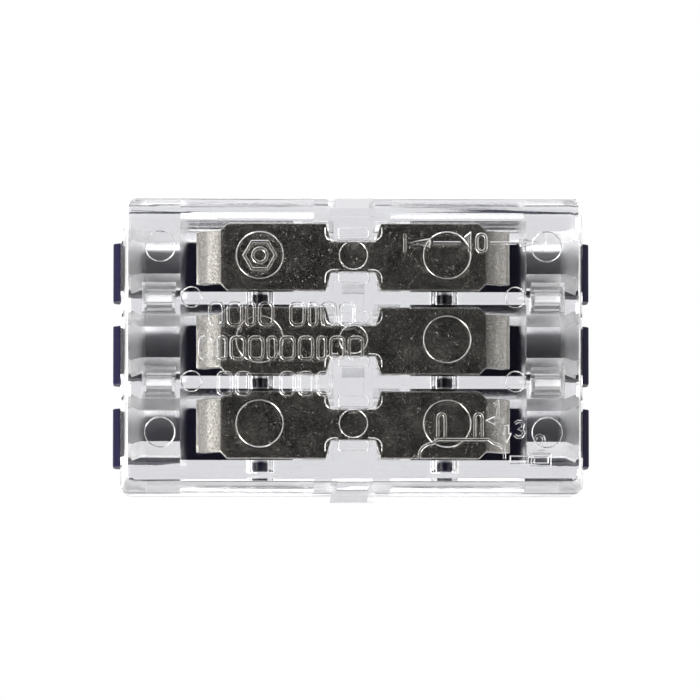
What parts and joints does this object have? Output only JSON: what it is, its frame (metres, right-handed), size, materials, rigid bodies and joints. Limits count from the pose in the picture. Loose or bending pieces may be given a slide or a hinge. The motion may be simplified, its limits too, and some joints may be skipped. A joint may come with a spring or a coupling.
{
  "type": "lever wire connector",
  "caption": "Clear straight-through lever wire connector: rows of busbars with a spring clamp and a lever at each end.",
  "frame": {"origin": "centre of the flat underside of the clear housing", "axes": "+X along the wires, +Y across the rows towards the side with the rail, +Z towards the levers"},
  "size_m": [0.0344, 0.0211, 0.0139],
  "materials": {
    "clear_housing": "clear gloss",
    "tinned_busbar": "tinned, satin",
    "spring_steel": "bright rolled",
    "navy_lever": "satin"
  },
  "bodies": {
    "housing": {"housing_base": "clear_housing", "housing_cover": "clear_housing", "busbar_1": "tinned_busbar", "busbar_2": "tinned_busbar", "busbar_3": "tinned_busbar"},
    "lever_left_1": {"lever_left_1": "navy_lever"},
    "clamp_spring_left_1": {"clamp_spring_left_1": "spring_steel"},
    "lever_left_2": {"lever_left_2": "navy_lever"},
    "clamp_spring_left_2": {"clamp_spring_left_2": "spring_steel"},
    "lever_left_3": {"lever_left_3": "navy_lever"},
    "clamp_spring_left_3": {"clamp_spring_left_3": "spring_steel"},
    "lever_right_1": {"lever_right_1": "navy_lever"},
    "clamp_spring_right_1": {"clamp_spring_right_1": "spring_steel"},
    "lever_right_2": {"lever_right_2": "navy_lever"},
    "clamp_spring_right_2": {"clamp_spring_right_2": "spring_steel"},
    "lever_right_3": {"lever_right_3": "navy_lever"},
    "clamp_spring_right_3": {"clamp_spring_right_3": "spring_steel"}
  },
  "joints": [
    {"name": "lever_left_1_pivot", "type": "hinge", "parent": "housing", "child": "lever_left_1", "pos_m": [-0.0066, -0.006, 0.00895], "axis": [0, 1, 0], "range_deg": [0, 88]},
    {"name": "clamp_spring_left_1_flex", "type": "hinge", "parent": "housing", "child": "clamp_spring_left_1", "pos_m": [-0.0031, -0.006, 0.004], "axis": [0, 1, 0], "range_deg": [0, 27]},
    {"name": "lever_left_2_pivot", "type": "hinge", "parent": "housing", "child": "lever_left_2", "pos_m": [-0.0066, 0, 0.00895], "axis": [0, 1, 0], "range_deg": [0, 88]},
    {"name": "clamp_spring_left_2_flex", "type": "hinge", "parent": "housing", "child": "clamp_spring_left_2", "pos_m": [-0.0031, 0, 0.004], "axis": [0, 1, 0], "range_deg": [0, 27]},
    {"name": "lever_left_3_pivot", "type": "hinge", "parent": "housing", "child": "lever_left_3", "pos_m": [-0.0066, 0.006, 0.00895], "axis": [0, 1, 0], "range_deg": [0, 88]},
    {"name": "clamp_spring_left_3_flex", "type": "hinge", "parent": "housing", "child": "clamp_spring_left_3", "pos_m": [-0.0031, 0.006, 0.004], "axis": [0, 1, 0], "range_deg": [0, 27]},
    {"name": "lever_right_1_pivot", "type": "hinge", "parent": "housing", "child": "lever_right_1", "pos_m": [0.0066, -0.006, 0.00895], "axis": [0, -1, 0], "range_deg": [0, 88]},
    {"name": "clamp_spring_right_1_flex", "type": "hinge", "parent": "housing", "child": "clamp_spring_right_1", "pos_m": [0.0031, -0.006, 0.004], "axis": [0, -1, 0], "range_deg": [0, 27]},
    {"name": "lever_right_2_pivot", "type": "hinge", "parent": "housing", "child": "lever_right_2", "pos_m": [0.0066, 0, 0.00895], "axis": [0, -1, 0], "range_deg": [0, 88]},
    {"name": "clamp_spring_right_2_flex", "type": "hinge", "parent": "housing", "child": "clamp_spring_right_2", "pos_m": [0.0031, 0, 0.004], "axis": [0, -1, 0], "range_deg": [0, 27]},
    {"name": "lever_right_3_pivot", "type": "hinge", "parent": "housing", "child": "lever_right_3", "pos_m": [0.0066, 0.006, 0.00895], "axis": [0, -1, 0], "range_deg": [0, 88]},
    {"name": "clamp_spring_right_3_flex", "type": "hinge", "parent": "housing", "child": "clamp_spring_right_3", "pos_m": [0.0031, 0.006, 0.004], "axis": [0, -1, 0], "range_deg": [0, 27]}
  ],
  "couplings": [
    {"joint": "clamp_spring_left_1_flex", "follows": "lever_left_1_pivot", "ratio": 0.3},
    {"joint": "clamp_spring_left_2_flex", "follows": "lever_left_2_pivot", "ratio": 0.3},
    {"joint": "clamp_spring_left_3_flex", "follows": "lever_left_3_pivot", "ratio": 0.3},
    {"joint": "clamp_spring_right_1_flex", "follows": "lever_right_1_pivot", "ratio": 0.3},
    {"joint": "clamp_spring_right_2_flex", "follows": "lever_right_2_pivot", "ratio": 0.3},
    {"joint": "clamp_spring_right_3_flex", "follows": "lever_right_3_pivot", "ratio": 0.3}
  ]
}
